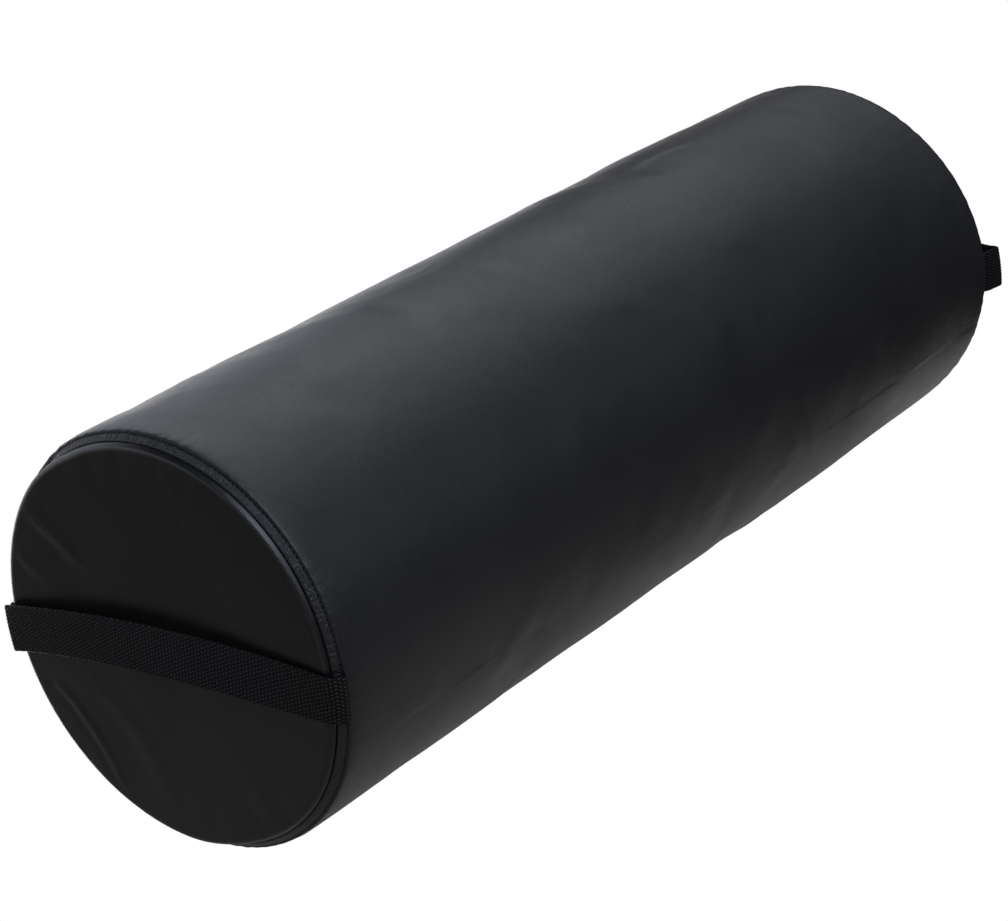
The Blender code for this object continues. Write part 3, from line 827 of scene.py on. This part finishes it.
def fold(y, out, lead, radii, corner):
    """One end of a handle: where it folds, the points that lead there from the seam, and the bends' radii."""
    return {"fold": (y, out), "lead": lead, "radii": radii, "corner": corner}


# Both handles, in millimetres: their folds, how far the grip bows out, and how the webbing lies
HANDLES = {
    "left": dict(
        front=fold(106.6, 2.2, [(-111.9, -3.0), (-110.0, 0.4)], [3.0, 2.5], 3.0),
        back=fold(111.2, 5.6, [(114.0, -1.6), (112.4, 1.2)], [2.0, 3.0], 2.2),
        bow=6.5, rise=0.0, twist=1.0, turn=0.0,
    ),
    "right": dict(
        front=fold(118.4, 12.6, [(-115.6, -2.5)], [2.5], 2.2),
        back=fold(110.4, 5.0, [(114.0, -1.6), (112.4, 1.2)], [2.0, 3.0], 2.2),
        bow=3.0, rise=3.6, twist=0.6, turn=5.5,
    ),
}


def handle_path(front, back, bow):
    """A handle's middle line, as (along Y, out from the end's plane), front to back, and the distance along it."""
    span = np.linspace(-1, 1, 33)
    y = np.interp(span, [-1, 1], [-front["fold"][0], back["fold"][0]])
    out = np.interp(span, [-1, 1], [front["fold"][1], back["fold"][1]]) + bow * (1 - span**2)
    caught_front, caught_back = [(-110.2, -5.6), (-112.0, -4.7)], [(114.1, -4.6), (112.2, -5.5)]
    points = caught_front + front["lead"] + list(zip(y, out)) + back["lead"][::-1] + caught_back
    radii = [1.0, *front["radii"], front["corner"]] + [0] * (len(span) - 2)
    radii += [back["corner"], *back["radii"][::-1], 1.0]
    return evenly(rounded(points, radii, 0.2) * MM, WEBBING_STEP)


def handle_lie(shape, path):
    """How a handle lies along its path: the height of its middle line over the axis, and its lean."""
    u = np.clip(path[:, 0] / (112 * MM), -1, 1)
    hump = 1 - u**2
    swing = u - u**3
    at_front = np.clip(-u, 0, 1)
    level = -7.2 - 0.5 * u + 9.1 * hump + 0.6 * swing
    level += 0.46 * (shape["bow"] - 3.0) * hump + shape["rise"] * at_front
    past_fold = np.clip((shape["back"]["fold"][1] - path[:, 1] / MM) / 6, 0, 1) * (path[:, 0] > 105 * MM)
    level -= 2.4 * past_fold
    lean = np.radians(-1.1 + 2.3 * u + 8.1 * hump - 10.4 * swing) * shape["twist"]
    lean += radians(shape["turn"]) * at_front
    wrapped = np.clip(-path[:, 1] / (2 * MM), 0, 1)
    return level * MM, lean * (1 - wrapped)


def woven_height(along, across):
    """Plain weave: how far the upper yarn of each crossing stands above the webbing's middle, from 0 to 1."""
    s, t = across / WARP_PITCH, along / WEFT_PITCH
    j, i = np.floor(s), np.floor(t)
    ds, dt = s - j - 0.5, t - i - 0.5
    odd = np.where((i + j) % 2 == 0, 1.0, -1.0)
    warp = 0.5 + 0.5 * odd * np.cos(pi * dt)
    weft = 0.5 - 0.5 * odd * np.cos(pi * ds)
    warp = warp * np.sqrt(np.clip(1 - (2.3 * ds) ** 2, 0, 1))
    weft = 0.62 * weft * np.sqrt(np.clip(1 - (2.3 * dt) ** 2, 0, 1))
    return np.maximum(warp, weft)


def woven_section(along):
    """The webbing's sections: how far each point lies across, how far it stands out, and its yarn's height."""
    half = WEBBING_HALF_WIDTH
    across = np.linspace(-half, half, 2 * int(round(half / WEBBING_CROSS_STEP)))
    edge = np.clip((half - np.abs(across)) / (0.6 * MM), 0, 1) ** 0.5
    thick = WEBBING_HALF_THICKNESS * (0.35 + 0.65 * edge)
    face, reverse = (woven_height(along[:, None] + lag, across[None, :] + half) for lag in (0, WEFT_PITCH))
    front_face, back_face = (thick + YARN_RELIEF * (yarns - 0.3) * edge for yarns in (face, reverse))
    wobble = 0.12 * MM * ring_noise(82, 20, 60)(along / along[-1] * 2 * pi)
    laterals = np.concatenate([across, across[::-1]]) * (1 + wobble[:, None] / half)
    offsets = np.concatenate([front_face, -back_face[:, ::-1]], axis=1)
    # relief: the yarn's height, falling to 0 at the edges; the webbing's colour turns it into painted shade and a
    # painted highlight
    relief = np.concatenate([face * edge, (reverse * edge)[:, ::-1]], axis=1)
    return laterals, offsets, relief


def handle_pieces(side):
    """A webbing handle in two halves that meet at its middle, each running from the cover to the grip."""
    shape = HANDLES[side]
    end = SIDES[side]
    path, along = handle_path(shape["front"], shape["back"], shape["bow"])
    heading = unit(np.gradient(path, axis=0))
    level, lean = (values[:, None] for values in handle_lie(shape, path))
    laterals, offsets, relief = woven_section(along)

    rise = level + laterals * np.cos(lean) + offsets * np.sin(lean)
    away = offsets * np.cos(lean) - laterals * np.sin(lean)
    y = path[:, :1] - heading[:, 1:] * away
    out = path[:, 1:] + heading[:, :1] * away
    # Near the rim the webbing hugs the round body
    hug = np.sqrt(np.clip(y**2 - rise**2, 0, None)) / np.maximum(np.abs(y), 1e-9)
    close = np.clip((np.abs(path[:, :1]) / MM - 96) / 14, 0, 1)
    y = y * (1 - close * (1 - hug))
    points = np.stack([end * (END_X + out), y, AXIS_Z + rise], axis=-1)

    middle = int(np.argmin(np.abs(along - WEFT_PITCH * round(along[-1] / 2 / WEFT_PITCH))))
    for name, sign, rows in (("front", -1, slice(0, middle + 1)), ("back", 1, slice(middle, None))):
        part = points[rows]
        count, columns = part.shape[:2]
        caps = [list(range(columns)), list(range((count - 1) * columns, count * columns))[::-1]]
        faces = grid_faces(count, columns).tolist() + caps
        piece = mesh_piece(f"webbing_{side}_{name}", part, faces, WEBBING, flip=end < 0)
        piece.data.set_sharp_from_angle(angle=radians(80))
        # The yarn's height, stored for the webbing's colour, which paints shade in the gaps and a highlight on the
        # tops
        attribute = piece.data.attributes.new("relief", "FLOAT", "POINT")
        attribute.data.foreach_set("value", relief[rows].ravel().astype(np.float32))
        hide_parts(f"handle_{side}", f"handle_{side}_sewn_end_{name}")
        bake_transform(piece)


# ---------------- zip

def coil_piece(name, down, phase):
    """One side of the zip: a spiral of nylon wire, flattened, whose turns reach between the other side's."""
    wire, steps, sides = 0.3 * MM, 12, 6
    turns = int(2 * COIL_HALF / COIL_PITCH)
    t = np.arange(turns * steps + 1) / steps + phase
    u = -COIL_HALF + t * COIL_PITCH
    v = down * (1.35 * MM + 1.62 * MM * np.cos(2 * pi * t))
    w = COIL_RADIUS + 0.62 * MM * np.sin(2 * pi * t)
    path = zip_point(u, v, w)
    heading = unit(np.gradient(path, axis=0))
    aside = unit(np.cross(heading, [1.0, 0.0, 0.0]))
    over = np.cross(aside, heading)
    angle = full_turn(sides)[None, :, None]
    points = path[:, None] + wire * (np.cos(angle) * aside[:, None] + np.sin(angle) * over[:, None])
    return mesh_piece(name, points, capped_faces(len(path), sides), NYLON)


def softened_copy(node_name, name):
    """A detailed stand-in for a small metal CAD part, with its edges rounded."""
    piece = linked(name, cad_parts[node_name].data.copy())
    piece.data.materials.clear()
    piece.data.materials.append(METAL)
    weld = piece.modifiers.new("weld", "WELD")
    weld.merge_threshold = 0.00001
    bevel = piece.modifiers.new("edges", "BEVEL")
    bevel.width = 0.3 * MM
    bevel.segments = 3
    bevel.limit_method = "ANGLE"
    bevel.angle_limit = radians(35)
    bevel.use_clamp_overlap = True
    apply_modifiers(piece)
    piece.data.shade_smooth()
    piece.data.set_sharp_from_angle(angle=radians(50))
    return piece


# ---------------- putting it together

def place(piece, body, slot, *nodes):
    """Rides the piece on a body and hides the CAD nodes that it stands for; slot is not used."""
    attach(piece, body)
    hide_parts(*nodes)
    return piece


cover = [place(barrel_piece(), "cover", "barrel_leather", "barrel_cover")]
cover.append(place(foam_piece(), "cover", "foam", "foam_core"))
for side in SIDES:
    cover.append(place(panel_piece(side), "cover", "panel_leather", f"end_panel_{side}"))
    cover.append(place(band_piece(side), "cover", "band_leather", f"rim_band_{side}"))
    place(end_seam_piece(side), "cover", "thread", f"end_seam_stitching_{side}")
    place(topstitch_piece(side), "cover", "thread", f"topstitching_{side}")
    place(barrel_seam_piece(side), "cover", "thread", f"barrel_seam_stitching_{side}")
    handle_pieces(side)

place(zip_stitch_piece(), "cover", "thread", "zip_stitching")
place(coil_piece("zip_teeth_upper", -1, 0.0), "cover", "zip_coil", "zip_coil_upper")
place(coil_piece("zip_teeth_lower", 1, 0.5), "cover", "zip_coil", "zip_coil_lower")
place(softened_copy("zip_slider", "zip_slider_body"), "slider", "zip_metal", "zip_slider")
place(softened_copy("zip_pull", "zip_pull_tab"), "pull", "zip_metal", "zip_pull")

for name, cad_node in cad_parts.items():
    if cad_node.hide_render:
        continue
    cad_node.data.materials.clear()
    cad_node.data.materials.append(TAPE if "tape" in name else METAL)


# ---------------- studio

def stage_plane(name, x, y, height, color, strength):
    """A level plane over a range of X and Y that gives off an even light."""
    mesh = bpy.data.meshes.new(name)
    corners = [(x[0], y[0]), (x[1], y[0]), (x[1], y[1]), (x[0], y[1])]
    mesh.from_pydata([(*corner, height) for corner in corners], [], [(0, 1, 2, 3)])
    material = bpy.data.materials.new(name)
    material.use_nodes = True
    material.node_tree.nodes.clear()
    emission = material.node_tree.nodes.new("ShaderNodeEmission")
    emission.inputs["Color"].default_value = (*color, 1)
    emission.inputs["Strength"].default_value = strength
    output = material.node_tree.nodes.new("ShaderNodeOutputMaterial")
    material.node_tree.links.new(emission.outputs[0], output.inputs["Surface"])
    mesh.materials.append(material)
    plane = linked(name, mesh)
    return plane


def seen_by(piece, camera, others):
    """Whether the camera sees a piece, and whether reflected and scattered light does."""
    piece.visible_camera = camera
    piece.visible_diffuse = others
    piece.visible_glossy = others
    piece.visible_shadow = False


def softbox(name, position, target, width, height, brightness, color):
    """A large soft light, aimed at a point; brightness is what a mirror would show of it."""
    light = bpy.data.lights.new(name, "AREA")
    light.shape = "RECTANGLE"
    light.size, light.size_y = width, height
    light.energy = brightness * pi * width * height
    light.color = color
    lamp = linked(name, light)
    lamp.location = position
    lamp.rotation_euler = (Vector(target) - Vector(position)).to_track_quat("-Z", "Y").to_euler()


# Softboxes: position, aim, width, height, brightness and colour
COOL = (0.94, 0.985, 1.12)
COOLER = (0.91, 0.985, 1.19)
FAINTLY_COOL = (0.965, 0.985, 1.06)
SOFTBOXES = {
    "overhead_left": ((-1.7, -1.5, 2.2), (-1.7, -1.5, 0), 1.7, 1.5, 4.6, COOLER),
    "overhead_front": ((0, -1.5, 2.2), (0, -1.5, 0), 1.7, 1.5, 2.1, COOL),
    "overhead_right": ((1.7, 0, 2.2), (1.7, 0, 0), 1.7, 1.5, 1.4, FAINTLY_COOL),
    "overhead_back": ((1.7, 1.5, 2.2), (1.7, 1.5, 0), 1.7, 1.5, 2.2, FAINTLY_COOL),
    "wall_back": ((0, 2.6, 1.5), (0, 0, 0.9), 5.0, 1.1, 1.1, COOL),
    "low_back": ((0, 2.6, 0.55), (0, 0, 0.5), 5.0, 0.7, 0.8, COOL),
    "wall_front": ((0, -2.8, 1.5), (0, 0, 0.9), 5.0, 1.1, 1.05, COOL),
    "wall_right": ((2.8, 0, 1.5), (0, 0, 0.9), 4.0, 1.1, 0.35, FAINTLY_COOL),
    "wall_left": ((-3.0, 0.6, 0.9), (0, 0.6, 0.6), 4.0, 1.8, 0.22, COOL),
    "high_left": ((-2.6, 1.5, 1.9), (0, 0, 0.3), 2.4, 0.9, 1.0, COOLER),
}

# What the floor gives back: its range of X, its range of Y and its brightness
FLOOR_GLOW = {
    "under_left": ((-0.32, -0.02), (-0.125, 0.1), 0.32),
    "under": ((-0.02, 0.28), (-0.125, 0.1), 0.36),
    "under_right": ((0.28, 0.8), (-0.125, 0.1), 0.50),
    "front_left": ((-0.32, -0.02), (-0.5, -0.125), 0.27),
    "front": ((-0.02, 0.28), (-0.5, -0.125), 0.17),
    "front_right": ((0.28, 0.8), (-0.5, -0.125), 0.06),
    "near_left": ((-0.47, -0.32), (-0.5, 0.5), 0.205),
    "mid_left": ((-0.57, -0.47), (-0.15, 1.4), 0.17),
    "left": ((-3.0, -0.57), (-0.15, 1.4), 0.12),
    "left_front": ((-3.0, -0.47), (-2.0, -0.15), 0.34),
    "back": ((-0.32, 1.6), (0.1, 1.4), 2.7),
    "far_back": ((-1.6, 4.0), (1.4, 4.0), 1.6),
    "far_front": ((-0.32, 4.0), (-4.0, -1.3), 0.6),
}


def camera():
    """The viewing angle: high over the left end's front, rolled a little."""
    azimuth, elevation, roll = radians(-50.492), radians(21.643), radians(7.130)
    aim = Vector((-23.86 * MM, 17.28 * MM, 94.07 * MM))
    distance = 1.58624
    back = Vector((sin(azimuth) * cos(elevation), -cos(azimuth) * cos(elevation), sin(elevation)))
    right = Vector((cos(azimuth), sin(azimuth), 0))
    up = back.cross(right)
    lens = bpy.data.cameras.new("camera")
    lens.lens = 97.62
    lens.sensor_width = 36
    eye = linked("camera", lens)
    turned = cos(roll) * right - sin(roll) * up
    upright = cos(roll) * up + sin(roll) * right
    eye.matrix_world = Matrix((turned, upright, back)).transposed().to_4x4()
    eye.location = aim + back * distance
    bpy.context.scene.camera = eye


floor = stage_plane("floor", (-30, 30), (-30, 30), -0.2 * MM, (1, 1, 1), 1.0)
seen_by(floor, True, False)
for name, (x_range, y_range, brightness) in FLOOR_GLOW.items():
    glow = stage_plane(f"floor_glow_{name}", x_range, y_range, -0.3 * MM, (1.0, 0.985, 0.985), brightness)
    seen_by(glow, False, True)
for name, settings in SOFTBOXES.items():
    softbox(name, *settings)

world = bpy.data.worlds.new("world")
world.use_nodes = True
world.node_tree.nodes["Background"].inputs["Color"].default_value = (0.9, 0.95, 1.0, 1)
world.node_tree.nodes["Background"].inputs["Strength"].default_value = 0.01
bpy.context.scene.world = world
bpy.context.scene.view_settings.view_transform = "Standard"

camera()
